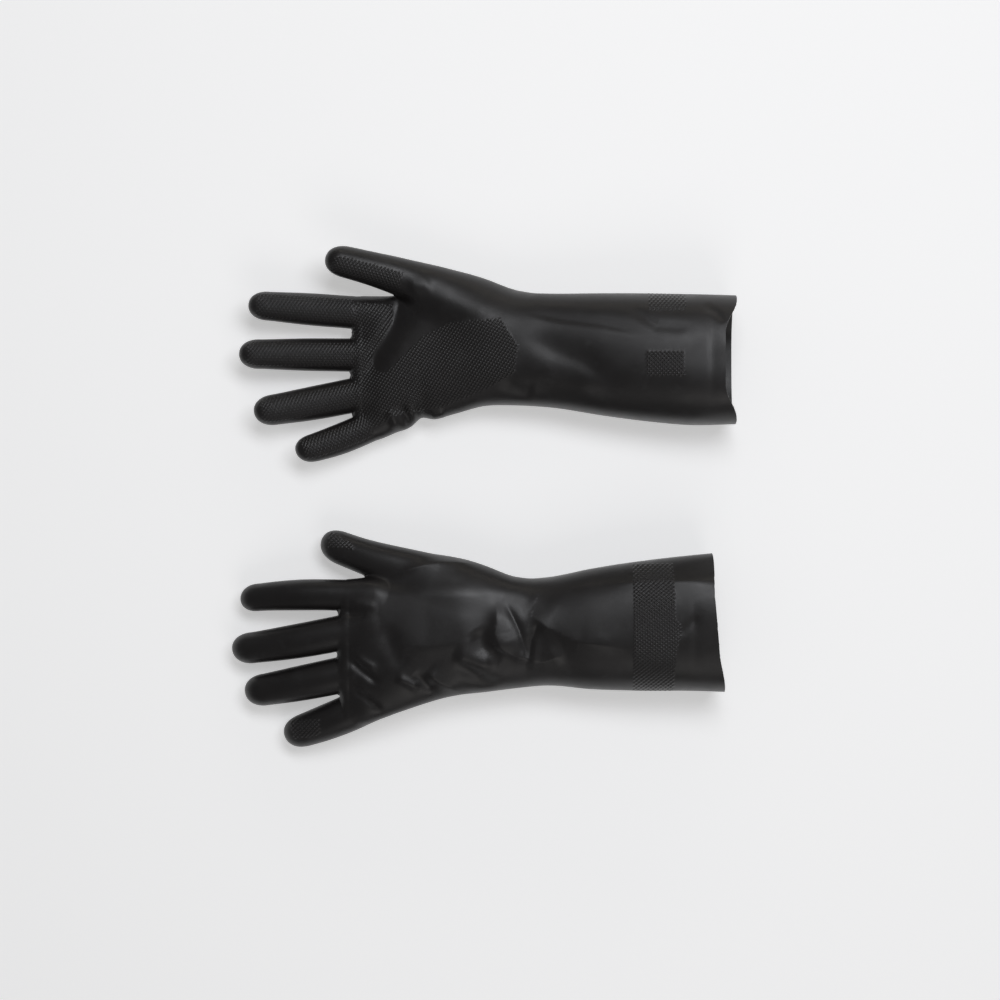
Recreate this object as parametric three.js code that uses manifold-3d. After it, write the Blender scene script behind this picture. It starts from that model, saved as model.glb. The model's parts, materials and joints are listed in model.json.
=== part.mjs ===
// A pair of moulded rubber gauntlet gloves lying on a flat surface, in millimetres.
//
// Z is up and z = 0 is the surface. The fingers point along -X, the thumbs along +Y and the cuffs
// open along +X. The right glove lies on its back with the palm up, and the left glove lies palm down.
// Each glove is one hollow shell of even wall. It is divided at its flex lines, which are the wrist,
// the knuckles and the middle finger joints, so that it can bend. Each cut is a cylinder about its own
// hinge axis, and the piece beyond the hinge swings around it with FLEX_GAP to spare. Every moving
// mesh has its own origin on its hinge, with its local Y along the hinge axis.

import * as THREE from "three";
import { mergeVertices } from "three/addons/utils/BufferGeometryUtils.js";
import Module from "manifold-3d";

const wasm = await Module();
wasm.setup();

// ---- Driving dimensions -------------------------------------------------------------------------

const WALL = 1.0; // rubber thickness
const FLEX_GAP = 0.4; // clearance between two pieces at a flex line

const CUFF_REACH = 150; // wrist crease to cuff edge
const CUFF_WIDTH = 97;
const CUFF_THICKNESS = 67;
const WRIST_WIDTH = 80;
const WRIST_THICKNESS = 49;
const PALM_REACH = 119; // wrist crease to the roots of the fingers
const PALM_WIDTH = 105;
const PALM_THICKNESS = 36;

const WRIST_TURN_RADIUS = 33; // cut cylinder about the wrist hinge
const SCALLOP_DEPTH = 6.5; // how far the palm side of the right cuff edge is cut back
const SCALLOP_WIDTH = 84;

const BODY_AROUND = 20; // facets round the sleeve and the palm
const FINGER_AROUND = 10;
const TURN_FACET = 5; // width of a facet of a cut cylinder

// Half widths at the root and near the tip, the distances of the two joints from the root, and the
// radii of their cut cylinders. flatness is thickness over width. roll turns the bending direction
// from straight at the palm towards the little finger. heel lists the distances behind the root, and
// the half widths there, of the part that runs on inside the palm.
const FINGERS = {
  thumb: {
    rootHalf: 14, tipHalf: 11.3, flatness: 0.92, rootJoint: 4, middleJoint: 30,
    rootTurn: 18, middleTurn: 14.5, roll: 15, heel: [[84, 9.5], [60, 15], [30, 15.6]],
  },
  index: {
    rootHalf: 12.1, tipHalf: 10, flatness: 0.88, rootJoint: 0, middleJoint: 34,
    rootTurn: 15, middleTurn: 13, roll: 0, heel: [[22, 12.6]],
  },
  middle: {
    rootHalf: 12.6, tipHalf: 10.6, flatness: 0.88, rootJoint: 0, middleJoint: 38,
    rootTurn: 15, middleTurn: 13, roll: 0, heel: [[22, 12.6]],
  },
  ring: {
    rootHalf: 12.9, tipHalf: 10.9, flatness: 0.88, rootJoint: 0, middleJoint: 35,
    rootTurn: 15, middleTurn: 13, roll: 0, heel: [[22, 12.6]],
  },
  little: {
    rootHalf: 12.3, tipHalf: 10.6, flatness: 0.88, rootJoint: 0, middleJoint: 25,
    rootTurn: 14.5, middleTurn: 13.6, roll: 0, heel: [[18, 12]],
  },
};
const HINGE_TO_PALM = 2; // each finger's hinge lies this far on the palm side of its centre line

// How each glove lies. wrist is the centre of the wrist crease. A palm section's lift is the height
// of its centre. A finger's root is measured ahead of the end of the palm, from the wrist towards the
// thumb, and up from the surface. heading is its direction towards the thumb and pitch its direction
// towards the palm, in degrees, each at the root and at the tip. girth scales its width. cuffSpread is
// how far the cuff is pressed wider and flatter than it was made.
const RIGHT = {
  name: "right",
  palmward: 1,
  wrist: [31, 105.9],
  wristLift: 24,
  palmLifts: [15, 16, 17.5, 20, 22.5],
  cuffLean: -8.5,
  cuffSkew: 0,
  cuffSpread: 0.97,
  scalloped: true,
  fingers: {
    thumb: { root: [-28.5, 51.4, 27], length: 57, heading: [16.5, 11.5], pitch: [6, 14], girth: 0.97 },
    index: { root: [5.3, 26.6, 15], length: 78, heading: [4.2, 3.4], pitch: [2, 14], girth: 0.97 },
    middle: { root: [3.8, -4.2, 15], length: 86, heading: [0.5, 0], pitch: [1, 12], girth: 0.95 },
    ring: { root: [0.9, -32, 14.5], length: 79.5, heading: [-12.5, -8.5], pitch: [2, 14], girth: 0.96 },
    little: { root: [-5.6, -55.6, 14], length: 58, heading: [-26, -14], pitch: [4, 16], girth: 0.92 },
  },
};
const LEFT = {
  name: "left",
  palmward: -1,
  wrist: [19, -99.4],
  wristLift: 24,
  palmLifts: [28, 28.5, 28, 27, 25.5],
  cuffLean: 8.4,
  cuffSkew: 4.1,
  cuffSpread: 1.03,
  scalloped: false,
  fingers: {
    thumb: { root: [-35.7, 48, 21], length: 58, heading: [15, 23.5], pitch: [6, 14], girth: 1.02 },
    index: { root: [0.5, 26.9, 27], length: 78.5, heading: [2, -7], pitch: [6, 18], girth: 0.93 },
    middle: { root: [1.9, 0.1, 28], length: 84, heading: [-12, -7], pitch: [6, 17], girth: 1 },
    ring: { root: [-3.1, -29.2, 27], length: 80, heading: [-13, -9.5], pitch: [6, 17], girth: 1 },
    little: { root: [-8.2, -56, 23], length: 58.5, heading: [-24, -18], pitch: [8, 19], girth: 1.07 },
  },
};

// ---- Solids -------------------------------------------------------------------------------------

// A closed three.js geometry as a manifold-3d solid, without the triangles that collapse to a line.
function solidOf(geometry) {
  const bare = new THREE.BufferGeometry();
  bare.setAttribute("position", geometry.getAttribute("position"));
  bare.setIndex(geometry.getIndex());
  const merged = mergeVertices(bare, 1e-4);
  const corners = merged.getIndex().array;
  const kept = [];
  for (let i = 0; i < corners.length; i += 3) {
    const [a, b, c] = corners.slice(i, i + 3);
    if (a !== b && b !== c && c !== a) kept.push(a, b, c);
  }
  return new wasm.Manifold(
    new wasm.Mesh({
      numProp: 3,
      vertProperties: new Float32Array(merged.getAttribute("position").array),
      triVerts: new Uint32Array(kept),
    }),
  );
}

// A solid as a three.js geometry, seen from the frame given.
function geometryOf(solid, frame) {
  const { numProp, numVert, vertProperties, triVerts } = solid.getMesh();
  const points = new Float32Array(numVert * 3);
  for (let i = 0; i < numVert; i++) {
    points.set(vertProperties.subarray(i * numProp, i * numProp + 3), i * 3);
  }
  const geometry = new THREE.BufferGeometry();
  geometry.setAttribute("position", new THREE.BufferAttribute(points, 3));
  geometry.setIndex(new THREE.BufferAttribute(triVerts, 1));
  geometry.applyMatrix4(frame.clone().invert());
  geometry.computeVertexNormals();
  return geometry;
}

// A tube with closed ends whose rings run through the sections given. A section has a centre, two
// directions across it, and its half sizes along them. power 2 is an ellipse, and more is squarer.
function loft(sections, around) {
  const geometry = new THREE.CylinderGeometry(1, 1, 1, around, sections.length - 1);
  const points = geometry.getAttribute("position");
  const squared = (value, power) => Math.sign(value) * Math.abs(value) ** (2 / power);
  const [first, second] = sections;
  const ahead = second.centre.clone().sub(first.centre);
  const facing = Math.sign(first.side.clone().cross(ahead).dot(first.up)); // keeps the faces outwards
  for (let i = 0; i < points.count; i++) {
    const row = Math.round((points.getY(i) + 0.5) * (sections.length - 1));
    const s = sections[row];
    const across = facing * squared(points.getX(i), s.power) * s.halfWidth;
    const up = squared(points.getZ(i), s.power) * s.halfThickness;
    const p = s.centre.clone().addScaledVector(s.side, across).addScaledVector(s.up, up);
    points.setXYZ(i, p.x, p.y, Math.max(p.z, s.floor));
  }
  return solidOf(geometry);
}

// A cylinder about a hinge. frame holds the hinge point, with the axis along its local Y.
function turnCylinder(frame, radius, length) {
  const facets = Math.round((2 * Math.PI * radius) / TURN_FACET);
  const geometry = new THREE.CylinderGeometry(radius, radius, length, facets);
  return solidOf(geometry.applyMatrix4(frame));
}

// A box that starts at the hinge and runs along its local X, away from the wrist.
function reachBox(frame, length, halfAcross, halfUp) {
  const geometry = new THREE.BoxGeometry(length, 2 * halfAcross, 2 * halfUp);
  geometry.translate(length / 2, 0, 0);
  return solidOf(geometry.applyMatrix4(frame));
}

// ---- Sleeve and palm ----------------------------------------------------------------------------

// The sections from the roots of the fingers to the cuff edge, taken in by inset on every side.
function bodySections(glove, inset) {
  const [wristX, wristY] = glove.wrist;
  const palm = [
    { share: 1, lean: -15, width: 0.95 * PALM_WIDTH, thickness: 0.6 * PALM_THICKNESS, slant: 8 },
    { share: 0.82, lean: -12.2, width: 0.96 * PALM_WIDTH, thickness: 0.92 * PALM_THICKNESS, slant: 5 },
    { share: 0.6, lean: -4.5, width: 0.9 * PALM_WIDTH, thickness: PALM_THICKNESS, slant: 0 },
    { share: 0.38, lean: -1, width: 0.88 * PALM_WIDTH, thickness: 1.1 * PALM_THICKNESS, slant: 0 },
    { share: 0.18, lean: 1, width: 1.04 * WRIST_WIDTH, thickness: 0.94 * WRIST_THICKNESS, slant: 0 },
  ];
  const cuffWidth = CUFF_WIDTH * glove.cuffSpread;
  const cuffThickness = CUFF_THICKNESS / glove.cuffSpread;
  const between = (wrist, cuff, share) => wrist + (cuff - wrist) * share;
  const sleeve = [0, 0.3, 0.6, 0.85, 1].map((share) => {
    const opening = Math.min(1, share * 1.15);
    return {
      x: share * CUFF_REACH,
      lean: glove.cuffLean * share,
      width: between(WRIST_WIDTH, cuffWidth, opening),
      thickness: between(WRIST_THICKNESS, cuffThickness, opening),
      lift: between(glove.wristLift, cuffThickness / 2 - 1, opening),
      slant: 0,
    };
  });
  const rows = [
    ...palm.map((row, i) => ({ ...row, x: -row.share * PALM_REACH, lift: glove.palmLifts[i] })),
    ...sleeve,
  ];
  rows[0].x += inset; // the end wall between the fingers
  rows.push({ ...rows.at(-1), x: CUFF_REACH + 12 }); // run past the edge, which is cut later
  const centres = new THREE.CatmullRomCurve3(
    rows.map((row) => new THREE.Vector3(wristX + row.x, wristY + row.lean, row.lift)),
  );
  const sizes = new THREE.CatmullRomCurve3(
    rows.map((row) => new THREE.Vector3(row.width / 2 - inset, row.thickness / 2 - inset, row.slant)),
  );
  const steps = rows.length + 2;
  return Array.from({ length: steps + 1 }, (_, i) => {
    const [halfWidth, halfThickness, slant] = sizes.getPoint(i / steps).toArray();
    const turn = THREE.MathUtils.degToRad(slant);
    return {
      centre: centres.getPoint(i / steps),
      side: new THREE.Vector3(-Math.sin(turn), Math.cos(turn), 0),
      up: new THREE.Vector3(0, 0, 1),
      halfWidth,
      halfThickness,
      power: 2.3,
      floor: inset,
    };
  });
}

// What is cut away beyond the cuff edge, turned by the skew of the edge.
function beyondCuff(glove) {
  const [wristX, wristY] = glove.wrist;
  const box = new THREE.BoxGeometry(60, 3 * CUFF_WIDTH, 3 * CUFF_THICKNESS);
  box.translate(30, 0, 0);
  box.rotateZ(THREE.MathUtils.degToRad(glove.cuffSkew));
  const edgeY = wristY + glove.cuffLean;
  let cut = solidOf(box.translate(wristX + CUFF_REACH, edgeY, CUFF_THICKNESS / 2));
  if (glove.scalloped) {
    const radius = ((SCALLOP_WIDTH / 2) ** 2 + SCALLOP_DEPTH ** 2) / (2 * SCALLOP_DEPTH);
    const scallop = new THREE.CylinderGeometry(radius, radius, CUFF_THICKNESS / 2, 96);
    scallop.rotateX(Math.PI / 2);
    const x = wristX + CUFF_REACH - SCALLOP_DEPTH + radius;
    cut = cut.add(solidOf(scallop.translate(x, edgeY, 0.85 * CUFF_THICKNESS)));
  }
  return cut;
}

// ---- Fingers ------------------------------------------------------------------------------------

// The direction of a finger and the directions across it, at a share of its length.
function fingerAxes(glove, pose, roll, share) {
  const at = ([root, tip]) => THREE.MathUtils.degToRad(root + (tip - root) * share);
  const [heading, pitch] = [at(pose.heading), at(pose.pitch)];
  const along = new THREE.Vector3(
    -Math.cos(heading) * Math.cos(pitch),
    Math.sin(heading) * Math.cos(pitch),
    glove.palmward * Math.sin(pitch),
  );
  const thumbward = new THREE.Vector3(Math.sin(heading), Math.cos(heading), 0);
  const palmward = along.clone().cross(thumbward).multiplyScalar(-glove.palmward);
  const turn = THREE.MathUtils.degToRad(roll) * glove.palmward;
  thumbward.applyAxisAngle(along, turn);
  palmward.applyAxisAngle(along, turn);
  return { along, thumbward, palmward };
}

// The point on a finger's centre line at a distance from its root.
function fingerPoint(glove, pose, distance) {
  const share = distance / pose.length;
  const { along } = fingerAxes(glove, pose, 0, Math.max(0, share) / 2);
  const [ahead, towardsThumb, lift] = pose.root;
  const reach = PALM_REACH + ahead;
  const root = new THREE.Vector3(glove.wrist[0] - reach, glove.wrist[1] + towardsThumb, lift);
  return root.addScaledVector(along, distance);
}

// The sections of a finger from inside the palm to its round tip, taken in by inset.
function fingerSections(glove, finger, pose, inset) {
  const tipHalf = finger.tipHalf * pose.girth - inset;
  const rootHalf = finger.rootHalf * pose.girth - inset;
  const domeLength = 1.2 * tipHalf;
  const domeStart = pose.length - inset - domeLength;
  const web = 2.2 * pose.girth; // the flare into the skin between two fingers
  const dome = [28, 54, 78].map((angle) => THREE.MathUtils.degToRad(angle));
  const rows = [
    ...finger.heel.map(([behind, half]) => ({ at: -behind, half: half - inset })),
    { at: 0, half: rootHalf, flare: web },
    { at: 5, half: rootHalf, flare: 0.3 * web },
    ...[0.33, 0.66, 1].map((share) => ({
      at: share * domeStart,
      half: rootHalf + (tipHalf - rootHalf) * share ** 2,
    })),
    ...dome.map((angle) => ({
      at: domeStart + domeLength * Math.sin(angle),
      half: tipHalf * Math.cos(angle),
    })),
  ];
  return rows.map(({ at, half, flare = 0 }) => {
    const axes = fingerAxes(glove, pose, finger.roll, Math.max(0, at / pose.length));
    return {
      centre: fingerPoint(glove, pose, at),
      side: axes.thumbward,
      up: axes.palmward,
      halfWidth: half + flare,
      halfThickness: half * finger.flatness,
      power: 2,
      floor: inset,
    };
  });
}

// The frame of a finger joint: its point, with X away from the wrist and Y along the hinge axis.
// A positive turn about Y bends the finger towards the palm. The axis turns with half the heading of
// the finger, so that bent fingers stay side by side.
function jointFrame(glove, finger, pose, distance) {
  const halved = { ...pose, heading: pose.heading.map((angle) => angle / 2) };
  const axes = fingerAxes(glove, halved, finger.roll, distance / pose.length);
  const hinge = axes.along.clone().cross(axes.palmward);
  const up = axes.along.clone().cross(hinge);
  const at = fingerPoint(glove, pose, distance).addScaledVector(axes.palmward, HINGE_TO_PALM);
  return new THREE.Matrix4().makeBasis(axes.along, hinge, up).setPosition(at);
}

// The room around a finger that lies beyond one of its joints, outside the cut cylinder.
function beyondJoint(glove, finger, pose, frame, turnRadius) {
  const around = loft(fingerSections(glove, finger, pose, -0.6), FINGER_AROUND);
  const beyond = reachBox(frame, 2 * pose.length, pose.length, pose.length);
  return around.intersect(beyond).subtract(turnCylinder(frame, turnRadius, 4 * finger.rootHalf));
}

// ---- Gloves -------------------------------------------------------------------------------------

function rubber() {
  return new THREE.MeshStandardMaterial({ color: 0x1d1d1f, roughness: 0.45, metalness: 0 });
}

function placed(name, solid, frame) {
  const mesh = new THREE.Mesh(geometryOf(solid, frame), rubber());
  mesh.name = name;
  mesh.applyMatrix4(frame);
  return mesh;
}

// The outer or inner solid of a whole glove.
function gloveSolid(glove, inset) {
  const body = loft(bodySections(glove, inset), BODY_AROUND);
  return Object.entries(FINGERS).reduce((whole, [name, finger]) => {
    const sections = fingerSections(glove, finger, glove.fingers[name], inset);
    return whole.add(loft(sections, FINGER_AROUND));
  }, body);
}

function makeGlove(glove) {
  const group = new THREE.Group();
  group.name = glove.name + "_glove";
  const edge = beyondCuff(glove);
  const shell = gloveSolid(glove, 0).subtract(gloveSolid(glove, WALL)).subtract(edge);

  const wristAxis = new THREE.Vector3(0, glove.palmward, 0);
  const along = new THREE.Vector3(-1, 0, 0);
  const wristFrame = new THREE.Matrix4()
    .makeBasis(along, wristAxis, along.clone().cross(wristAxis))
    .setPosition(...glove.wrist, glove.wristLift);
  const handSide = (radius) => {
    const size = 2 * PALM_REACH;
    const turn = turnCylinder(wristFrame, radius, size);
    return reachBox(wristFrame, 2 * size, size, size).add(turn);
  };
  const gauntlet = shell.subtract(handSide(WRIST_TURN_RADIUS));
  let hand = shell.intersect(handSide(WRIST_TURN_RADIUS - FLEX_GAP));

  const fingerMeshes = [];
  for (const [name, finger] of Object.entries(FINGERS)) {
    const pose = glove.fingers[name];
    const rootFrame = jointFrame(glove, finger, pose, finger.rootJoint);
    const middleFrame = jointFrame(glove, finger, pose, finger.middleJoint);
    const beyond = (frame, radius) => beyondJoint(glove, finger, pose, frame, radius);
    hand = hand.subtract(beyond(rootFrame, finger.rootTurn - FLEX_GAP));
    const whole = shell.intersect(beyond(rootFrame, finger.rootTurn));
    const base = whole.subtract(beyond(middleFrame, finger.middleTurn - FLEX_GAP));
    const tip = whole.intersect(beyond(middleFrame, finger.middleTurn));
    fingerMeshes.push(placed(`${glove.name}_${name}_base`, base, rootFrame));
    fingerMeshes.push(placed(`${glove.name}_${name}_tip`, tip, middleFrame));
  }

  const cuffFrame = new THREE.Matrix4().setPosition(
    glove.wrist[0] + CUFF_REACH, glove.wrist[1] + glove.cuffLean, 0,
  );
  group.add(placed(glove.name + "_gauntlet", gauntlet, cuffFrame));
  group.add(placed(glove.name + "_hand", hand, wristFrame));
  group.add(...fingerMeshes);
  return group;
}

const pair = new THREE.Group();
pair.add(makeGlove(RIGHT), makeGlove(LEFT));

// The origin is in the middle of the space the pair takes up, on the surface they lie on.
const room = new THREE.Box3().setFromObject(pair, true);
pair.position.set(-(room.min.x + room.max.x) / 2, -(room.min.y + room.max.y) / 2, -room.min.z);

const gloves = new THREE.Group();
gloves.name = "insulating_gloves";
gloves.add(pair);

export default gloves;
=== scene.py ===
"""A pair of long black rubber gauntlet gloves, built around the CAD frame in metres.

Each glove is one smooth solid, described by a distance function in millimetres: a sleeve and palm of
changing section, five fingers, and the dents and folds of the rubber. Its surface is turned into a
mesh, made finer where the raised grip pattern is, given a wall, and divided into pieces at the joints.
"""

import json
import math

import bpy
import numpy as np
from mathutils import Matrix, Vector


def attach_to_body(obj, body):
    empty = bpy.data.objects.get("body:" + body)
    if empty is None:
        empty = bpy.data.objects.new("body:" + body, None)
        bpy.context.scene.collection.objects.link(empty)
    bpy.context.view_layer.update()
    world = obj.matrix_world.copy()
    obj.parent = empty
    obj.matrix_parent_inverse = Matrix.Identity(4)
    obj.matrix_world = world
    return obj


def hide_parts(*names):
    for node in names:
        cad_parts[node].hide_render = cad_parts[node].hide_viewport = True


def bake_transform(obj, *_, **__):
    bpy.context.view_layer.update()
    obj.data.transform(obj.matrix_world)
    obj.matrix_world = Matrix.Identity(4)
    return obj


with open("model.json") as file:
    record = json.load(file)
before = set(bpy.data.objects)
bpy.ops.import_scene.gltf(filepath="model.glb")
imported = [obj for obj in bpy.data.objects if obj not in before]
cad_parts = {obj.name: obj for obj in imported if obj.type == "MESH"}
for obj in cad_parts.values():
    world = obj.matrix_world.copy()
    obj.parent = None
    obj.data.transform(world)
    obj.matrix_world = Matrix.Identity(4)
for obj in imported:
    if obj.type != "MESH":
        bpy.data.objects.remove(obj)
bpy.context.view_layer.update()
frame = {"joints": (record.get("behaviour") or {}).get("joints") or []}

MM = 0.001
WALL = 1.0  # rubber thickness
CUFF_AT = 150  # the cuff edge
HAND_FROM = 34  # the hand's piece starts this far up the sleeve
WRIST_HEIGHT = 24.0  # the centre of the wrist above the surface

# The grid that the surface is found on, and how the mesh is evened out and made finer.
GRID = 1.9
GRID_LOW = (-213.0, -92.0, -4.0)
GRID_HIGH = (158.0, 92.0, 74.0)
RELAX_ROUNDS = 4
FINER_PASSES = 2
SNAP = 0.25  # a vertex this close to a cut is moved onto it
NARROW_FOLD = 5  # folds that reach less than this get a finer mesh

# The plain shapes. A power of 2 is an ellipse, and more is squarer.
BODY_POWER = 2.35
FINGER_POWER = 2.15
PALM_END = 9  # length of the rounding of the palm's end between the fingers
HEEL_END = 12  # length of the rounding of a finger's end inside the palm
DOME = 1.35  # length of a finger's round tip over its half width
FINGER_BLEND = 4.0  # radius of the webs between the fingers
THUMB_BLEND = (7, 14)  # the same at the thumb's root, and where it runs on in the palm
GROUND_BLEND = 1.5  # radius of the edge where the skin lies flat on the surface
BEVEL_BLEND = 3
BEVEL_FADE = (-116, -94)  # between these the flat on the thumb side comes up to its full depth
BEVEL_DEPTH = 14

GRIP_PITCH = 2.13  # distance between two lines of the raised diamond grid
GRIP_HEIGHT = 0.5
FINGER_GRIP_ANGLE = 52

JOINTS = {joint["name"]: joint for joint in frame["joints"]}
FINGER_NAMES = ("thumb", "index", "middle", "ring", "little")


# ---- Curves and blends --------------------------------------------------------------------------


def smoothstep(low, high, value):
    t = np.clip((value - low) / (high - low), 0, 1)
    return t * t * (3 - 2 * t)


def union(a, b, radius):
    """The smooth union of two distances."""
    h = np.clip(0.5 + 0.5 * (b - a) / radius, 0, 1)
    return b * (1 - h) + a * h - radius * h * (1 - h)


def curve(x, stations, values):
    """A smooth curve through the values at the stations, flat in slope beyond its ends."""
    xs, ys = np.asarray(stations, float), np.asarray(values, float)
    slopes = np.gradient(ys, xs)
    i = np.clip(np.searchsorted(xs, x) - 1, 0, len(xs) - 2)
    width = xs[i + 1] - xs[i]
    t = np.clip((x - xs[i]) / width, 0, 1)
    return (
        ys[i] * (1 + 2 * t) * (1 - t) ** 2
        + slopes[i] * width * t * (1 - t) ** 2
        + ys[i + 1] * t * t * (3 - 2 * t)
        + slopes[i + 1] * width * t * t * (t - 1)
    )


def path_distance(x, y, path):
    """The distance in plan from each point to a path, how far along it the nearest point is, 0 to 1, and
    whether the point is to the left of it."""
    best = np.full(len(x), 1e9)
    along = np.zeros(len(x))
    left = np.zeros(len(x), bool)
    steps = len(path) - 1
    for i, ((ax, ay), (bx, by)) in enumerate(zip(path, path[1:])):
        dx, dy = bx - ax, by - ay
        t = np.clip(((x - ax) * dx + (y - ay) * dy) / (dx * dx + dy * dy), 0, 1)
        d = np.hypot(x - ax - t * dx, y - ay - t * dy)
        near = d < best
        best = np.where(near, d, best)
        along = np.where(near, (i + t) / steps, along)
        left = np.where(near, dx * (y - ay) - dy * (x - ax) > 0, left)
    return best, along, left


def outline_distance(x, y, outline):
    """The signed distance in plan to a closed outline, negative inside."""
    closed = outline + outline[:1]
    distance, _, _ = path_distance(x, y, closed)
    inside = np.zeros(len(x), bool)
    for (ax, ay), (bx, by) in zip(closed, closed[1:]):
        if ay == by:
            continue
        crosses = (ay > y) != (by > y)
        inside ^= crosses & (x < ax + (y - ay) * (bx - ax) / (by - ay))
    return np.where(inside, -distance, distance)


def ring_distance(across, up, half_across, half_up, power, extra=0.0):
    """The distance to a superellipse with these half sizes. extra rounds off an end."""
    a, u = np.abs(across) / half_across, np.abs(up) / half_up
    total = a**power + u**power + extra
    value = np.maximum(total, 1e-9) ** (1 / power)
    slope_a = a ** (power - 1) / half_across
    slope_u = u ** (power - 1) / half_up
    slope = np.hypot(slope_a, slope_u) * np.maximum(value, 1e-3) ** (1 - power)
    return (value - 1) / np.maximum(slope, 0.6 / np.maximum(half_across, half_up))


def fold(depth, widths, *path, power=2):
    """A fold of the rubber along a path in plan: how deep it goes, or how high if negative, how far it
    reaches to the left and to the right of the path, and how sharp it is: 2 is round, 1 a crest."""
    return depth, widths, path, power


def finger_pose(root, length, heading, pitch, girth):
    """How a finger lies: its root, its length, its direction towards the thumb and towards the palm in
    degrees, each at the root and at the tip, and how thick it is over the plain finger."""
    return dict(root=root, length=length, heading=heading, pitch=pitch, girth=girth)


# ---- The shape of each glove --------------------------------------------------------------------
# Millimetres from the centre of the wrist crease: x towards the cuff, y towards the thumb, z up from
# the surface. palmward is the palm's side: 1 up, -1 down. The stations are places along x, and low,
# high, bottom and top are the limits of the sleeve and palm in y and z there. cuff_skew turns the cuff
# edge, and scallop is how far its upper side is cut back.

RIGHT = {
    "side": "right",
    "palmward": 1,
    "stations": (-119, -106, -95, -84, -77, -68, -52, -30, -9, 13, 56, 90, 122, 152),
    "low": (-61, -63.5, -59.5, -56.5, -50.5, -51, -47.5, -41.6, -40.8, -42, -48.8, -52.6, -55.6, -55.5),
    "high": (37, 37.5, 38, 40, 41, 42, 43, 43, 41, 40.2, 39.6, 39.4, 38.7, 37.2),
    "bottom": (4, 1, 0, -0.6, -0.6, -0.6, -0.6, -0.6, -0.6, -0.6, -0.8, -0.9, -1, -1),
    "top": (25, 29.5, 31.5, 33, 34, 35.5, 39, 44, 47.5, 50, 57, 62, 66, 67.5),
    "fingers": {
        "thumb": finger_pose((-90.5, 51.4, 27), 57, heading=(16.5, 11.5), pitch=(6, 14), girth=0.97),
        "index": finger_pose((-124.3, 26.6, 15), 78, heading=(4.2, 3.4), pitch=(2, 14), girth=0.97),
        "middle": finger_pose((-122.8, -4.2, 15), 86, heading=(0.5, 0), pitch=(1, 12), girth=0.95),
        "ring": finger_pose((-119.9, -32, 14.5), 79.5, heading=(-12.5, -8.5), pitch=(2, 14), girth=0.96),
        "little": finger_pose((-113.4, -55.6, 14), 58, heading=(-26, -14), pitch=(4, 16), girth=0.92),
    },
    "cuff_skew": 0.0,
    "scallop": 9.5,
    "bevel": None,
    "folds": [
        # the crease between the finger pads and the palm
        fold(4.2, (9, 5), (-88, 42), (-97, 17), (-109, -4), (-117, -26)),
        # the long folds of the sleeve
        fold(0.7, (6, 3), (-6, 27), (24, 20), (53, 16), (92, 8)),
        fold(1.1, (10, 7), (-14, 14), (24, -4), (40, -10), (72, -34)),
        fold(-1.2, (13, 9), (-7, -9), (24, -24), (58, -35)),
        fold(1.0, (5, 5), (-22, -22), (-4, -31), (6, -33)),
        # the ball of the thumb
        fold(-2.6, (16, 15), (-98, 36), (-78, 33), (-58, 29), (-32, 23), (-4, 19)),
        fold(0.7, (4, 4), (70, 30), (92, 14), (122, 12)),
        fold(-0.8, (6, 6), (-86, 42), (-68, 47)),
        # the wrinkles below the little finger
        fold(2.6, (3, 3), (-83, -60), (-86, -50), (-92, -39)),
        fold(-1.8, (3.5, 3.5), (-93, -60), (-97, -50), (-101, -44)),
        fold(1.9, (3, 3), (-76, -56), (-79, -46), (-84, -40)),
        fold(-1.0, (4, 4), (-70, -52), (-58, -47)),
        # the shallow step and the crease near the cuff edge
        fold(0.4, (2.5, 5), (131, -50), (131, 34)),
        fold(0.8, (3, 3), (124, 30), (134, 24), (141, 16)),
    ],
}
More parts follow.
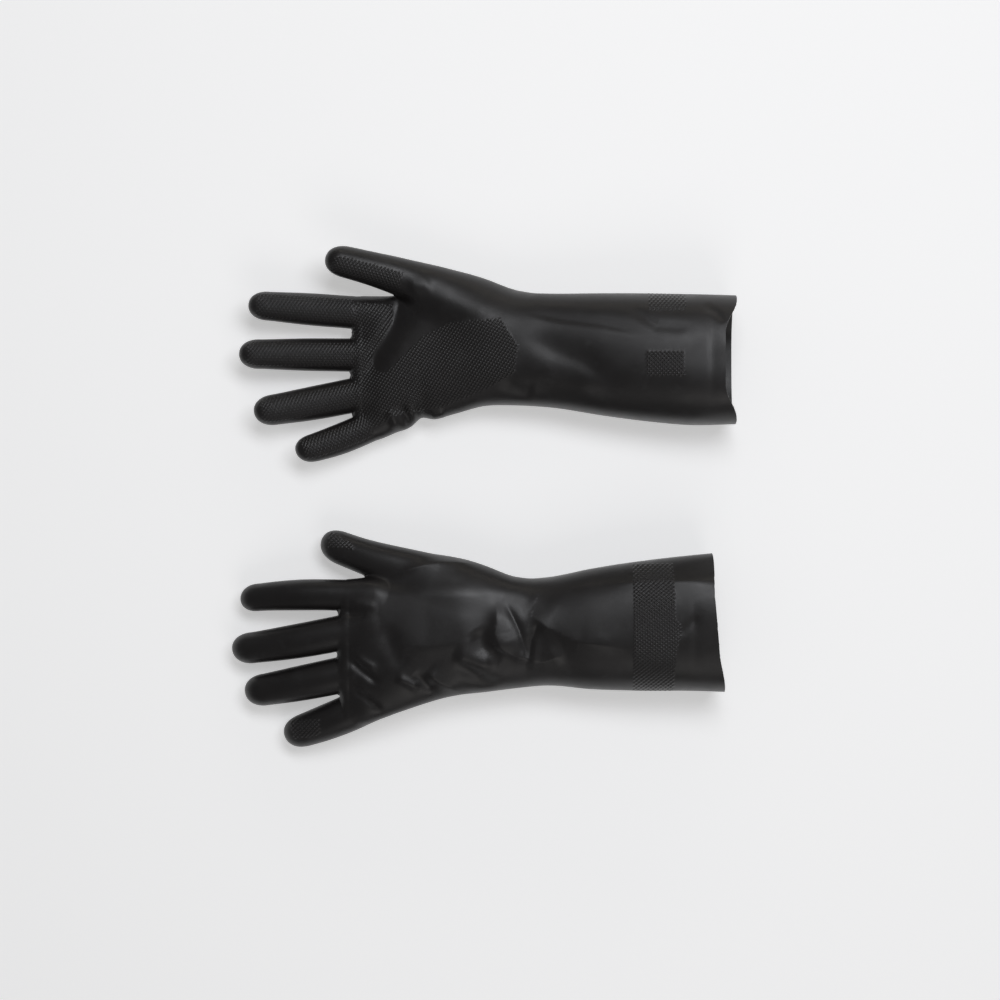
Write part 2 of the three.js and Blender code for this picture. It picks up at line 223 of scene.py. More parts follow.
LEFT = {
    "side": "left",
    "palmward": -1,
    "stations": (-116, -105, -94, -83, -72, -62, -40, -18, 3, 25, 58, 90, 122, 155),
    "low": (-62, -64.5, -61.8, -58.4, -54.8, -51.7, -45.9, -43, -40.1, -38.2, -40.9, -41.5, -41.8, -43),
    "high": (37, 38.4, 38.6, 39.5, 42, 45, 48, 44, 39.5, 40, 45.9, 51, 55.3, 58.5),
    "bottom": (17, 16, 15, 14, 12.5, 11, 7, 2, -0.6, -0.6, -0.8, -0.9, -1, -1),
    "top": (38, 42, 44, 45.5, 46.5, 47, 48, 48, 48.5, 50.5, 56, 60, 62.5, 64),
    "fingers": {
        "thumb": finger_pose((-83.3, 48, 21), 58, heading=(15, 23.5), pitch=(6, 14), girth=1.02),
        "index": finger_pose((-119.5, 26.9, 27), 78.5, heading=(2, -7), pitch=(6, 18), girth=0.93),
        "middle": finger_pose((-120.9, 0.1, 28), 84, heading=(-12, -7), pitch=(6, 17), girth=1.0),
        "ring": finger_pose((-115.9, -29.2, 27), 80, heading=(-13, -9.5), pitch=(6, 17), girth=1.0),
        "little": finger_pose((-110.8, -56, 23), 58.5, heading=(-24, -18), pitch=(8, 19), girth=1.07),
    },
    "cuff_skew": 0.0856,
    "scallop": 2.8,
    # the flat along the thumb side: its slope in degrees, and where across the glove it starts
    "bevel": (50, (-102, 20, 100), (28.5, 30, 37)),
    "folds": [
        # the facets at the wrist: each falls slowly on one side of a crest and steeply on the other
        fold(-2.4, (6, 15), (-3, -18), (-11, 0), (-9, 26), power=1.3),
        fold(1.3, (3, 3), (14, -22), (6, 4), (-5, 25), power=1.5),
        fold(-2.4, (20, 4), (-22, -2), (-6, -11), (6, -17), (22, -19), power=1.3),
        fold(1.6, (3, 3), (13, -22), (15, -4), (21, 10), power=1.5),
        fold(-2.0, (14, 6), (10, -20), (24, -20), (40, -14), power=1.3),
        fold(-2.4, (18, 5), (12, 16), (26, 5), (48, -6), (90, -10), power=1.4),
        # the back of the hand, with the hollows and creases towards the little finger
        fold(-2.0, (22, 9), (-92, -6), (-60, -9), (-36, -6), (-10, 2), power=1.6),
        fold(1.8, (7, 7), (-26, 4), (-18, -8), (-4, -18)),
        fold(-2.2, (9, 5), (-42, -14), (-27, -20), (-10, -25)),
        fold(1.5, (5, 5), (-40, -19), (-21, -33), (-4, -36)),
        fold(-2.0, (4, 6), (-34, -44), (-51, -35), (-61, -27), power=1.4),
        fold(-1.5, (3, 4), (-64, -40), (-83, -31)),
        fold(1.4, (4, 4), (-70, -28), (-54, -42)),
        fold(1.0, (6, 6), (-90, 8), (-84, -10), (-76, -28)),
        # the folds behind the knuckles
        fold(1.5, (3, 3), (-126, 18), (-114, 14), (-102, 15)),
        fold(-0.8, (3.5, 3.5), (-116, 21), (-94, 19)),
        fold(1.5, (2.8, 3.2), (-116, -18), (-106, -27), (-92, -37)),
        fold(-0.8, (3, 3), (-114, -15), (-94, -27)),
        fold(1.2, (2.8, 3.2), (-115, -39), (-104, -46), (-90, -58)),
        # the hand's edge stands up over the thumb
        fold(-1.3, (3, 4), (-98, 38), (-80, 43.5), (-63, 49), (-51, 51), (-36, 51), (-20, 49), power=1.4),
        # the crest along the flat of the sleeve
        fold(-1.0, (3, 5), (62, 36), (110, 38), (152, 39), power=1.4),
        # the shallow step and the crease near the cuff edge
        fold(0.4, (2.5, 5), (131, -38), (131, 30)),
        fold(0.5, (3, 3), (117, -2), (126, 6), (134, 14)),
    ],
}
# The raised grip: an outline in plan, and the directions of its two sets of lines in degrees.
PALM_GRIP = (
    [
        (-132, 34), (-98, 32), (-97, 21), (-102, 11), (-108, 1), (-113, -8), (-110, -15), (-102, -18),
        (-75, 8), (-56, 18), (-19, 20), (-7, 1), (-9, -18), (-29, -30), (-60, -42), (-78, -45),
        (-96, -49), (-106, -55), (-118, -59), (-132, -37),
    ],
    (55, -24),
)
CUFF_GRIPS = [
    ([(87, 41), (113, 41), (113, 26), (87, 26)], (45, -45)),
    ([(85, -4), (111, -4), (111, -21), (85, -21)], (45, -45)),
]
BACK_BAND = (
    [(88, 50), (116, 50), (117, 12), (122, 5), (118, -12), (116, -45), (88, -45)],
    (39, -36),
)
TIP_PATCHES = [
    ([(-131, 73), (-114, 65), (-114, 60), (-131, 62)], (45, -45)),
    ([(-160, -64), (-138, -62), (-138, -74), (-156, -77)], (45, -45)),
]
# The plain fingers. heel lists the distances behind the root, and the half widths there, of the part
# that runs on inside the palm. halves are the half widths at the root, at mid length and near the tip.
# flatness is thickness over width.
FINGERS = {
    "thumb": dict(heel=((84, 9.5), (60, 15), (30, 15.6)), halves=(14.2, 12.4, 11.6), flatness=0.92),
    "index": dict(heel=((24, 12.6),), halves=(12.3, 12, 10.8), flatness=0.88),
    "middle": dict(heel=((24, 12.6),), halves=(12.8, 12.4, 11.3), flatness=0.88),
    "ring": dict(heel=((24, 12.6),), halves=(13.1, 12.8, 11.6), flatness=0.88),
    "little": dict(heel=((20, 12),), halves=(12.4, 12.1, 11), flatness=0.88),
}


class Glove:
    def __init__(self, shape):
        self.__dict__.update(shape)
        wrist = JOINTS[self.side + "_wrist"]["pos_m"]
        self.origin = np.array([wrist[0] / MM, wrist[1] / MM, 0.0])
        self.axes = {}
        for name, pose in self.fingers.items():
            heading, pitch = (math.radians(sum(pose[key]) / 2) for key in ("heading", "pitch"))
            along = np.array([
                -math.cos(heading) * math.cos(pitch),
                math.sin(heading) * math.cos(pitch),
                self.palmward * math.sin(pitch),
            ])
            thumbward = np.array([math.sin(heading), math.cos(heading), 0.0])
            palmward = np.cross(along, thumbward) * -self.palmward
            self.axes[name] = along, thumbward, palmward

    def finger_place(self, p, name):
        """How far each point is along a finger from its root, and how far it is off the finger's centre
        line towards the thumb and towards the palm."""
        pose = self.fingers[name]
        along, thumbward, palmward = self.axes[name]
        q = p - np.array(pose["root"])
        t = q @ along
        bow = np.where(t > 0, t * (1 - t / pose["length"]), t)
        sideways, upwards = (
            math.tan(math.radians((pose[key][0] - pose[key][1]) / 2)) for key in ("heading", "pitch")
        )
        return t, q @ thumbward - sideways * bow, q @ palmward - upwards * bow

    def finger_half(self, t, name):
        """The half width of a finger at a distance from its root."""
        finger = FINGERS[name]
        pose = self.fingers[name]
        root, middle, tip = (half * pose["girth"] for half in finger["halves"])
        length = pose["length"]
        stations = [-behind for behind, _ in finger["heel"]] + [0, 0.45 * length, 0.8 * length]
        halves = [half for _, half in finger["heel"]] + [root, middle, tip]
        return curve(t, stations, halves)

    def finger_distance(self, p, name):
        finger = FINGERS[name]
        pose = self.fingers[name]
        t, s, u = self.finger_place(p, name)
        half = self.finger_half(t, name)
        tip = finger["halves"][2] * pose["girth"]
        dome = DOME * tip
        start = pose["length"] - dome
        heel = finger["heel"][0][0]
        beyond = np.maximum(t - start, 0) / dome
        behind = np.maximum(-heel - t, 0) / HEEL_END
        ends = beyond**FINGER_POWER + behind**2
        return ring_distance(s, u, half, half * finger["flatness"], FINGER_POWER, ends)

    def body_distance(self, p):
        """The distance to the sleeve and palm."""
        x, y, z = p.T
        low, high = curve(x, self.stations, self.low), curve(x, self.stations, self.high)
        bottom, top = curve(x, self.stations, self.bottom), curve(x, self.stations, self.top)
        beyond = np.maximum(self.stations[0] - x, 0) / PALM_END
        return ring_distance(
            y - (low + high) / 2, z - (bottom + top) / 2, (high - low) / 2, (top - bottom) / 2,
            BODY_POWER, beyond**2,
        )

    def distance(self, p):
        """The signed distance to the outside of the glove, before its grip pattern."""
        d = self.bevelled(p, self.body_distance(p))
        for name in FINGER_NAMES:
            radius = FINGER_BLEND
            if name == "thumb":
                at_root, in_palm = THUMB_BLEND
                t, _, _ = self.finger_place(p, name)
                radius = at_root + (in_palm - at_root) * smoothstep(-2, -32, t)
            d = union(d, self.finger_distance(p, name), radius)
        d = d + self.dents(p)
        return -union(-d, p[:, 2], GROUND_BLEND)  # the soft skin lies flat on the surface

    def dents(self, p):
        """How far the skin lies inside its plain shape: long soft waves on the sleeve, and the folds,
        which are on the upper side only."""
        x, y, z = p.T
        wave = 0.35 * np.sin(x / 17 + 1.3 * np.sin(y / 23)) + 0.25 * np.sin(y / 9 + x / 31 + z / 15)
        deep = wave * smoothstep(-100, -40, x)
        middle = (curve(x, self.stations, self.bottom) + curve(x, self.stations, self.top)) / 2
        upper = smoothstep(-4, 8, z - middle)
        for depth, (left_reach, right_reach), path, power in self.folds:
            margin = 3 * max(left_reach, right_reach)
            low, high = np.min(path, 0) - margin, np.max(path, 0) + margin
            near = (x > low[0]) & (x < high[0]) & (y > low[1]) & (y < high[1])
            distance, along, left = path_distance(x[near], y[near], path)
            reach = np.where(left, left_reach, right_reach)
            fade = smoothstep(0, 0.3, along) * smoothstep(1, 0.7, along)
            deep[near] += depth * np.exp(-((distance / reach) ** power)) * fade * upper[near]
        return deep

    def creased(self, p):
        """Whether each point is on a narrow fold."""
        x, y, z = p.T
        on = np.zeros(len(p), bool)
        for _, reaches, path, _ in self.folds:
            if min(reaches) < NARROW_FOLD:
                distance, _, _ = path_distance(x, y, path)
                on |= (distance < 2.5 * min(reaches)) & (z > 20)
        return on

    def bevelled(self, p, d):
        """The distance to the body with the flat cut along its thumb side."""
        if self.bevel is None:
            return d
        angle, stations, starts = self.bevel
        x, y, z = p.T
        start = curve(x, stations, starts)
        tilt = math.radians(angle)
        top = curve(x, self.stations, self.top)
        flat = (y - start) * math.sin(tilt) + (z - top + 1.5) * math.cos(tilt)
        flat = flat - BEVEL_DEPTH * (1 - smoothstep(*BEVEL_FADE, x))
        return -union(-d, -flat, BEVEL_BLEND)

    def cuff(self, p):
        """How far each point is beyond the cuff edge."""
        x, y, z = p.T
        low, high = curve(x, self.stations, self.low), curve(x, self.stations, self.high)
        middle = (low + high) / 2
        half = (high - low) / 2
        dip = 1 - smoothstep(0.4, 0.97, np.abs(y - middle) / half)
        return x - CUFF_AT + self.cuff_skew * (y - 4) + self.scallop * dip * smoothstep(32, 46, z)

    def grip(self, p, normal, lines=True):
        """The height of the raised diamonds at points of the surface. With lines off, it is the height
        of the whole area that they cover."""
        x, y, _ = p.T
        towards = normal[:, 2] * self.palmward
        height = np.zeros(len(p))

        def diamonds(a, b, angles):
            height = 1.0
            if not lines:
                return height
            for angle, least in zip(angles, (0.0, 0.3)):
                turn = math.radians(angle)
                phase = 2 * math.pi * (b * math.cos(turn) - a * math.sin(turn)) / GRIP_PITCH
                height = height * (least + (1 - least) * (0.5 + 0.5 * np.cos(phase)))
            return height

        free = np.ones(len(p))
        for name in FINGER_NAMES:
            t, s, u = self.finger_place(p, name)
            half = self.finger_half(t, name)
            on = (self.finger_distance(p, name) < 2) & (t > -3)
            angle = np.arctan2(s, u / FINGERS[name]["flatness"])
            arc = half * angle
            length = self.fingers[name]["length"]
            low, high = (-10, 2) if name == "thumb" else (-9.5, 9.5)
            if name == "little":
                low, high = -8, 9
            band = smoothstep(low - 0.8, low + 0.4, arc) * smoothstep(high + 0.8, high - 0.4, arc)
            ends = smoothstep(-1, 5, t) * smoothstep(length - 3.5, length - 6.5, t)
            value = band * ends * diamonds(-t, arc, (FINGER_GRIP_ANGLE, -FINGER_GRIP_ANGLE))
            height = np.where(on, np.maximum(height, value), height)
            free = np.where(on & (t > 0), np.minimum(free, 1 - smoothstep(0, 5, t)), free)
        patches = [(PALM_GRIP, 1)] + [(grip, 1) for grip in CUFF_GRIPS] + [(BACK_BAND, -1)]
        if self.side == "left":
            patches += [(grip, -1) for grip in TIP_PATCHES]
        for i, ((outline, angles), side) in enumerate(patches):
            inside = smoothstep(0.8, -0.6, outline_distance(x, y, outline))
            facing = smoothstep(0.02, 0.25, towards * side)
            value = inside * facing * diamonds(x, y, angles)
            if i == 0:
                value = value * free
            height = np.maximum(height, value)
        return GRIP_HEIGHT * height

    def grip_area(self, p, normal):
        """Whether each point is within reach of the raised diamonds."""
        return self.grip(p, normal, lines=False) > 0.02


# ---- Meshes -------------------------------------------------------------------------------------


def surface(distance, low, high, step):
    """The triangles of the zero surface of a distance function, with one vertex in each grid cell that
    it crosses."""
    axes = [np.arange(a, b + step, step) for a, b in zip(low, high)]
    shape = tuple(len(a) for a in axes)
    points = np.stack(np.meshgrid(*axes, indexing="ij"), -1).reshape(-1, 3)
    values = np.concatenate([distance(part) for part in np.array_split(points, 12)]).reshape(shape)
    inside = values < 0
    cells = tuple(n - 1 for n in shape)
    total, count = np.zeros(cells + (3,)), np.zeros(cells)
    crossings = []
    for axis in range(3):
        head = [slice(None)] * 3
        tail = [slice(None)] * 3
        head[axis], tail[axis] = slice(None, -1), slice(1, None)
        a, b = values[tuple(head)], values[tuple(tail)]
        change = (a < 0) != (b < 0)
        share = np.where(change, a / np.where(change, a - b, 1), 0)
        index = np.stack(np.meshgrid(*[np.arange(n) for n in a.shape], indexing="ij"), -1).astype(float)
        index[..., axis] += share
        others = [k for k in range(3) if k != axis]
        for da in (0, 1):
            for db in (0, 1):
                window = [slice(None)] * 3
                window[others[0]] = slice(1, None) if da else slice(None, -1)
                window[others[1]] = slice(1, None) if db else slice(None, -1)
                hit = change[tuple(window)]
                total += index[tuple(window)] * hit[..., None]
                count += hit
        crossings.append((axis, others, change, a < 0))
    active = count > 0
    number = np.full(cells, -1)
    number[active] = np.arange(active.sum())
    vertices = total[active] / count[active][:, None] * step + np.array(low, float)
    faces = []
    for axis, others, change, starts_inside in crossings:
        i, j, k = np.nonzero(change)
        place = [i, j, k]
        keep = (place[others[0]] > 0) & (place[others[1]] > 0)
        keep &= (place[others[0]] < cells[others[0]]) & (place[others[1]] < cells[others[1]])
        place = [q[keep] for q in place]
        flip = starts_inside[tuple(place)]
        corner = []
        for da, db in ((1, 1), (0, 1), (0, 0), (1, 0)):
            at = [q.copy() for q in place]
            at[others[0]] -= da
            at[others[1]] -= db
            corner.append(number[tuple(at)])
        quad = np.stack(corner, 1)
        if axis == 1:
            flip = ~flip
        quad[~flip] = quad[~flip][:, ::-1]
        faces += [quad[:, [0, 1, 2]], quad[:, [0, 2, 3]]]
    return vertices, np.concatenate(faces)


def slope(distance, p, reach=0.25):
    """The unit gradient of a distance function."""
    g = np.stack(
        [distance(p + step) - distance(p - step) for step in np.eye(3) * reach], 1
    )
    return g / np.maximum(np.linalg.norm(g, axis=1, keepdims=True), 1e-9)


def settle(distance, p, rounds=2):
    """Moves points onto the surface."""
    for _ in range(rounds):
        g = np.stack([distance(p + step) - distance(p - step) for step in np.eye(3) * 0.25], 1) / 0.5
        length = np.maximum((g * g).sum(1), 0.05)
        p = p - np.clip(distance(p) / length, -1.5, 1.5)[:, None] * g
    return p


def edges_of(faces):
    """The edges of triangles, each once, and the number of the edge that starts at each corner."""
    pairs = np.sort(np.stack([faces, np.roll(faces, -1, 1)], -1).reshape(-1, 2), 1)
    unique, number = np.unique(pairs, axis=0, return_inverse=True)
    return unique, number.reshape(-1, 3)


def relax(vertices, faces, distance, rounds):
    """Evens out the triangles, and keeps the vertices on the surface."""
    edges, _ = edges_of(faces)
    for _ in range(rounds):
        total, count = np.zeros_like(vertices), np.zeros(len(vertices))
        for a, b in ((0, 1), (1, 0)):
            np.add.at(total, edges[:, a], vertices[edges[:, b]])
            np.add.at(count, edges[:, a], 1)
        vertices = settle(distance, 0.4 * vertices + 0.6 * total / count[:, None], 1)
    return settle(distance, vertices, 2)


def split(vertices, faces, values, labels=None):
    """Cuts triangles along the zero line of values, so that none crosses it.

    Returns the vertices, the triangles, their labels, and the value of every vertex."""
    values = np.where(np.abs(values) < SNAP, 0.0, values)
    labels = np.zeros(len(faces), int) if labels is None else labels
    sign = np.sign(values)[faces]
    crossed = (sign.min(1) < 0) & (sign.max(1) > 0)
    plain, cut, cut_labels = faces[~crossed], faces[crossed], labels[crossed]
    sign = sign[crossed]
    on_line = (sign == 0).any(1)
    # The lone corner goes first: the one on the line, or the one with a sign of its own.
    lone = np.where(on_line, np.argmax(sign == 0, 1), np.argmax(sign * sign.sum(1, keepdims=True) < 0, 1))
    order = (lone[:, None] + np.arange(3)) % 3
    cut = np.take_along_axis(cut, order, 1)
    a, b, c = cut.T
    wanted = np.concatenate([
        np.stack([b, c], 1)[on_line], np.stack([a, b], 1)[~on_line], np.stack([a, c], 1)[~on_line],
    ])
    pairs, number = np.unique(np.sort(wanted, 1), axis=0, return_inverse=True)
    number = number.ravel() + len(vertices)
    va, vb = values[pairs[:, 0]], values[pairs[:, 1]]
    share = (va / (va - vb))[:, None]
    crossings = vertices[pairs[:, 0]] * (1 - share) + vertices[pairs[:, 1]] * share
    vertices = np.concatenate([vertices, crossings])
    values = np.concatenate([values, np.zeros(len(pairs))])
    n = on_line.sum()
    m = len(cut) - n
    middle, ab, ac = number[:n], number[n : n + m], number[n + m :]
    two, three = cut[on_line], cut[~on_line]
    pieces = [
        plain,
        np.stack([two[:, 0], two[:, 1], middle], 1), np.stack([two[:, 0], middle, two[:, 2]], 1),
        np.stack([three[:, 0], ab, ac], 1),
        np.stack([ab, three[:, 1], three[:, 2]], 1), np.stack([ab, three[:, 2], ac], 1),
    ]
    tags = [
        labels[~crossed], cut_labels[on_line], cut_labels[on_line],
        cut_labels[~on_line], cut_labels[~on_line], cut_labels[~on_line],
    ]
    return vertices, np.concatenate(pieces), np.concatenate(tags), values


def refine(vertices, faces, labels, wanted):
    """Splits the edges of the wanted triangles in half. Returns the middle of each split edge too."""
    edges, number = edges_of(faces)
    marked = np.zeros(len(edges), bool)
    marked[number[wanted].ravel()] = True
    middle = np.full(len(edges), -1)
    middle[marked] = len(vertices) + np.arange(marked.sum())
    vertices = np.concatenate([vertices, vertices[edges[marked]].mean(1)])
    m = middle[number]
    count = (m >= 0).sum(1)
    out, tags = [faces[count == 0]], [labels[count == 0]]

    def turned(which, first):
        order = (first[:, None] + np.arange(3)) % 3
        return np.take_along_axis(faces[which], order, 1), np.take_along_axis(m[which], order, 1)

    one = count == 1
    f, e = turned(one, np.argmax(m[one] >= 0, 1))
    out += [np.stack([f[:, 0], e[:, 0], f[:, 2]], 1), np.stack([e[:, 0], f[:, 1], f[:, 2]], 1)]
    tags += [labels[one]] * 2
    two = count == 2
    f, e = turned(two, (np.argmax(m[two] < 0, 1) + 1) % 3)  # the edge left whole comes last
    out += [
        np.stack([e[:, 0], f[:, 1], e[:, 1]], 1),
        np.stack([f[:, 0], e[:, 0], e[:, 1]], 1), np.stack([f[:, 0], e[:, 1], f[:, 2]], 1),
    ]
    tags += [labels[two]] * 3
    three = count == 3
    f, e = faces[three], m[three]
    out += [
        np.stack([f[:, 0], e[:, 0], e[:, 2]], 1), np.stack([e[:, 0], f[:, 1], e[:, 1]], 1),
        np.stack([e[:, 2], e[:, 1], f[:, 2]], 1), e,
    ]
    tags += [labels[three]] * 4
    halves = {tuple(pair): where for pair, where in zip(edges[marked].tolist(), middle[marked].tolist())}
    return vertices, np.concatenate(out), np.concatenate(tags), halves


# ---- Pieces -------------------------------------------------------------------------------------

# How far from the root each finger's pieces start and each bend ends, in millimetres.
BENDS = {
    "thumb": dict(base=(7.5, 22), tip=(23, 39)),
    "index": dict(base=(7.5, 23), tip=(24, 44)),
    "middle": dict(base=(7.5, 24), tip=(27, 48)),
    "ring": dict(base=(7.5, 23), tip=(24.5, 45)),
    "little": dict(base=(7.5, 17), tip=(18, 34)),
}


def nearest_finger(glove, p):
    """The number of the finger that each point is nearest to."""
    distances = np.stack([glove.finger_distance(p, name) for name in FINGER_NAMES])
    return np.argmin(distances, 0)


def divide(glove, vertices, faces):
    """Trims the surface to the cuff edge and labels its triangles: 0 the sleeve, 1 the hand, then each
    finger's base and tip. The cuts run along the edges of triangles."""
    vertices, faces, labels, values = split(vertices, faces, glove.cuff(vertices))
    keep = values[faces].mean(1) < 0
    faces, labels = faces[keep], labels[keep]
    vertices, faces, labels, values = split(vertices, faces, HAND_FROM - vertices[:, 0], labels)
    labels[values[faces].mean(1) > 0] = 1
    for i, name in enumerate(FINGER_NAMES):
        for k, part in enumerate(("base", "tip")):
            t, _, _ = glove.finger_place(vertices, name)
            values = np.where(nearest_finger(glove, vertices) == i, t - BENDS[name][part][0], -5.0)
            vertices, faces, labels, values = split(vertices, faces, values, labels)
            labels[values[faces].mean(1) > 0] = 2 + 2 * i + k
    used, inverse = np.unique(faces, return_inverse=True)
    return vertices[used], inverse.reshape(-1, 3), labels


def grip_normals(glove, p, normals, reach=0.15):
    """The normals of the skin with its raised grip."""
    across = np.cross(normals, [0.0, 0.0, 1.0])
    across[np.abs(across).sum(1) < 1e-6] = [1.0, 0.0, 0.0]
    across /= np.linalg.norm(across, axis=1, keepdims=True)
    tilted = normals.copy()
    for way in (across, np.cross(normals, across)):
        rise = glove.grip(p + way * reach, normals) - glove.grip(p - way * reach, normals)
        tilted -= way * (rise / (2 * reach))[:, None]
    return tilted / np.linalg.norm(tilted, axis=1, keepdims=True)


def chain(a, b, passes):
    """The vertices along a split edge, from a to just before b. passes holds, for each
    time the mesh was made finer, the middle of each edge that was split."""
    if not passes:
        return [a]
    middle = passes[0].get((min(a, b), max(a, b)))
    if middle is None:
        return chain(a, b, passes[1:])
    return chain(a, middle, passes[1:]) + chain(middle, b, passes[1:])


def boundary(faces):
    """The directed edges of triangles that have no triangle on their other side."""
    directed = np.stack([faces, np.roll(faces, -1, 1)], -1).reshape(-1, 2)
    keys = set(map(tuple, directed.tolist()))
    return [(a, b) for a, b in keys if (b, a) not in keys]


def build(shape):
    """Makes a glove's pieces, as Blender objects that replace its nodes."""
    glove = Glove(shape)
    vertices, faces = surface(glove.distance, GRID_LOW, GRID_HIGH, GRID)
    vertices = relax(vertices, faces, glove.distance, RELAX_ROUNDS)
    vertices, faces, labels = divide(glove, vertices, faces)
    vertices = settle(glove.distance, vertices, 1)
    normals = slope(glove.distance, vertices)
    inner = vertices - WALL * normals
    coarse, coarse_labels = faces, labels

    passes = []
    for number in range(FINER_PASSES):
        centres = vertices[faces].mean(1)
        raised = glove.grip_area(centres, slope(glove.distance, centres, 0.5))
        if number == 0:
            raised |= glove.creased(centres)
        vertices, faces, labels, halves = refine(vertices, faces, labels, raised)
        passes.append(halves)
    vertices = settle(glove.distance, vertices, 1)
    normals = slope(glove.distance, vertices)
    outer = vertices + normals * glove.grip(vertices, normals)[:, None]
    shading = grip_normals(glove, vertices, normals)

    names = ["gauntlet", "hand"] + [f"{name}_{part}" for name in FINGER_NAMES for part in ("base", "tip")]
    objects = {}
    for label, name in enumerate(names):
        skin, back = faces[labels == label], coarse[coarse_labels == label][:, ::-1]
        rim = []
        shift = len(outer)
        for b, a in boundary(back):
            # the rim runs between the edge a-b of the outside and the same edge of the inside
            row = chain(a, b, passes) + [b]
            for start, end in zip(row, row[1:]):
                rim.append((a + shift, end, start))
            rim.append((a + shift, b + shift, b))
        rim = np.array(rim)
        points = np.concatenate([outer, inner])
        looks = np.concatenate([shading, -slope(glove.distance, inner, 0.5)])
        whole = np.concatenate([skin, back + shift, rim])
        corner = points[rim]
        flat = np.cross(corner[:, 1] - corner[:, 0], corner[:, 2] - corner[:, 0])
        flat = flat / np.maximum(np.linalg.norm(flat, axis=1, keepdims=True), 1e-9)
        corners = np.concatenate([
            looks[skin].reshape(-1, 3), looks[back + shift].reshape(-1, 3), np.repeat(flat, 3, axis=0),
        ])
        used, inverse = np.unique(whole, return_inverse=True)
        node = f"{glove.side}_{name}"
        triangles = inverse.reshape(-1, 3)
        objects[name] = add_mesh(node + "_skin", points[used] + glove.origin, triangles, corners)
        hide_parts(node)
    return glove, objects


def add_mesh(name, vertices, faces, corners):
    """A mesh object from vertices in millimetres, triangles, and a shading normal for each corner."""
    mesh = bpy.data.meshes.new(name)
    mesh.vertices.add(len(vertices))
    mesh.vertices.foreach_set("co", (vertices * MM).astype(np.float32).ravel())
    mesh.loops.add(faces.size)
    mesh.loops.foreach_set("vertex_index", faces.ravel().astype(np.int32))
    mesh.polygons.add(len(faces))
    mesh.polygons.foreach_set("loop_start", np.arange(0, faces.size, 3, dtype=np.int32))
    mesh.update(calc_edges=True)
    mesh.validate()
    mesh.polygons.foreach_set("use_smooth", np.ones(len(mesh.polygons), bool))
    mesh.normals_split_custom_set(corners.tolist())
    thing = bpy.data.objects.new(name, mesh)
    bpy.context.scene.collection.objects.link(thing)
    return thing


def attach(glove, objects):
    """Puts the sleeve piece on its body; the other pieces stay fixed where they were built."""
    side = glove.side

    def place(point):
        return tuple((np.asarray(point) + glove.origin) * MM)

    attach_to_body(objects["gauntlet"], side + "_gauntlet")
    wrist = np.array([0, 0, WRIST_HEIGHT])
    start, end = wrist + [HAND_FROM - 3, 0, 0], wrist - [28, 0, 0]
    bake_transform(objects["hand"], side + "_gauntlet", side + "_hand", place(start), place(end))
    for name in FINGER_NAMES:
        along = glove.axes[name][0]
        root = np.array(glove.fingers[name]["root"], float)
        before = side + "_hand"
        for part in ("base", "tip"):
            start, end = BENDS[name][part]
            body = f"{side}_{name}_{part}"
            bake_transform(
                objects[f"{name}_{part}"], before, body,
                place(root + along * (start + 1)), place(root + along * end),
            )
            before = body


# ---- Materials ----------------------------------------------------------------------------------


def rubber_material():
    material = bpy.data.materials.new("black_rubber")
    material.use_nodes = True
    tree = material.node_tree
    shader = tree.nodes["Principled BSDF"]
    shader.inputs["IOR"].default_value = 1.52
    place = tree.nodes.new("ShaderNodeTexCoord")

    def noise(scale, detail, roughness=0.5):
        node = tree.nodes.new("ShaderNodeTexNoise")
        node.inputs["Scale"].default_value = scale
        node.inputs["Detail"].default_value = detail
        node.inputs["Roughness"].default_value = roughness
        tree.links.new(place.outputs["Object"], node.inputs["Vector"])
        return node.outputs["Fac"]

    def ramp(value, low, high, first, last):
        node = tree.nodes.new("ShaderNodeValToRGB")
        node.color_ramp.elements[0].position = low
        node.color_ramp.elements[1].position = high
        node.color_ramp.elements[0].color = first
        node.color_ramp.elements[1].color = last
        tree.links.new(value, node.inputs["Fac"])
        return node.outputs["Color"]

    def grey(value):
        return value, value, value, 1

    base = ramp(noise(22, 4), 0.3, 0.75, (0.0105, 0.0093, 0.0092, 1), (0.0170, 0.0153, 0.0155, 1))
    # Rubbed and dusty places are a little paler and duller.
    rubbed = ramp(noise(75, 7, 0.65), 0.56, 0.74, grey(0.0), grey(0.6))
    worn = tree.nodes.new("ShaderNodeMix")
    worn.data_type = "RGBA"
    worn.inputs["B"].default_value = (0.026, 0.0245, 0.025, 1)
    tree.links.new(rubbed, worn.inputs["Factor"])
    tree.links.new(base, worn.inputs["A"])
    tree.links.new(worn.outputs["Result"], shader.inputs["Base Color"])
    dulled = tree.nodes.new("ShaderNodeMath")
    dulled.operation = "MULTIPLY_ADD"
    dulled.inputs[1].default_value = 0.1
    tree.links.new(rubbed, dulled.inputs[0])
    tree.links.new(ramp(noise(60, 5, 0.6), 0.3, 0.7, grey(0.34), grey(0.46)), dulled.inputs[2])
    tree.links.new(dulled.outputs["Value"], shader.inputs["Roughness"])
    bump = tree.nodes.new("ShaderNodeBump")
    bump.inputs["Strength"].default_value = 0.25
    bump.inputs["Distance"].default_value = 0.0002
    tree.links.new(noise(2400, 3), bump.inputs["Height"])
    tree.links.new(bump.outputs["Normal"], shader.inputs["Normal"])
    return material


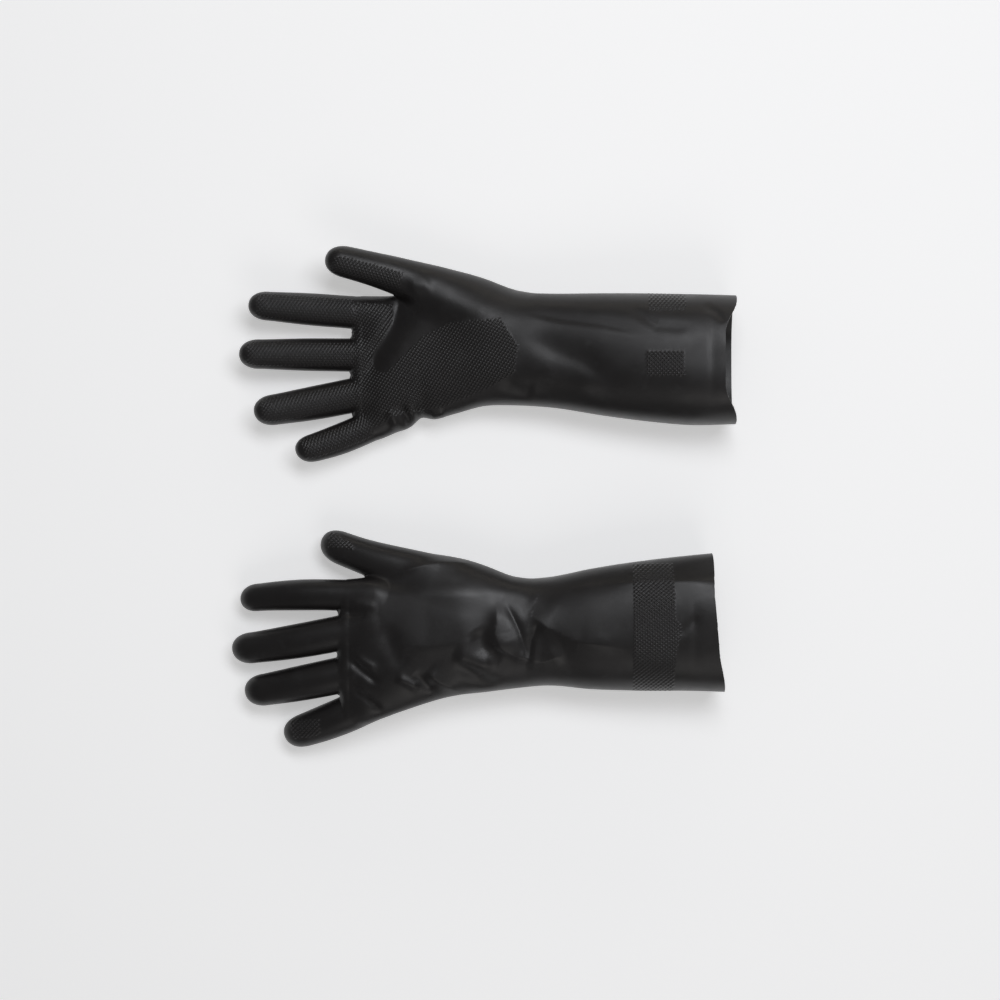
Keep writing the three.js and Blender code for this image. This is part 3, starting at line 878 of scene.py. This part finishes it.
rubber = rubber_material()
for shape in (RIGHT, LEFT):
    glove, objects = build(shape)
    for thing in objects.values():
        thing.data.materials.append(rubber)
    attach(glove, objects)

# ---- Stage, camera and light --------------------------------------------------------------------

FLOOR_SIZE = 8
FLOOR_HEIGHT = -0.0006  # just clear of the skin
CAMERA_HEIGHT = 2.0

bpy.ops.mesh.primitive_plane_add(size=FLOOR_SIZE, location=(0, 0, FLOOR_HEIGHT))
floor = bpy.context.object
floor.name = "floor"
paper = bpy.data.materials.new("paper")
paper.use_nodes = True
paper_shader = paper.node_tree.nodes["Principled BSDF"]
paper_shader.inputs["Base Color"].default_value = (0.9, 0.9, 0.9, 1)
paper_shader.inputs["Roughness"].default_value = 0.9
paper_shader.inputs["Emission Color"].default_value = (1, 1, 1, 1)
paper_shader.inputs["Emission Strength"].default_value = 0.42
floor.data.materials.append(paper)


def area_light(name, power, size, place, colour):
    """A soft light that faces the origin."""
    light = bpy.data.lights.new(name, "AREA")
    light.shape = "RECTANGLE"
    light.size, light.size_y = size
    light.energy = power
    light.color = colour
    thing = bpy.data.objects.new(name, light)
    thing.location = place
    thing.rotation_euler = (-Vector(place)).to_track_quat("-Z", "Y").to_euler()
    bpy.context.scene.collection.objects.link(thing)


area_light("upper", 15, (1.3, 0.7), (0.4, 0.72, 1.8), (0.95, 0.965, 1.0))
area_light("rim", 2.5, (1.6, 0.3), (0.2, 1.9, 0.6), (1.0, 0.93, 0.82))
area_light("lower", 4.5, (1.4, 1.0), (0.4, -1.4, 1.4), (1.0, 0.97, 0.95))
world = bpy.data.worlds.new("studio")
bpy.context.scene.world = world
world.use_nodes = True
world.node_tree.nodes["Background"].inputs["Color"].default_value = (1, 1, 1, 1)
world.node_tree.nodes["Background"].inputs["Strength"].default_value = 0.1
bpy.context.scene.view_settings.view_transform = "Standard"

camera_data = bpy.data.cameras.new("camera")
camera_data.sensor_width = 36
camera_data.lens = 98.3
camera = bpy.data.objects.new("camera", camera_data)
camera.location = (0.0128, -0.0016, CAMERA_HEIGHT)
bpy.context.scene.collection.objects.link(camera)
bpy.context.scene.camera = camera
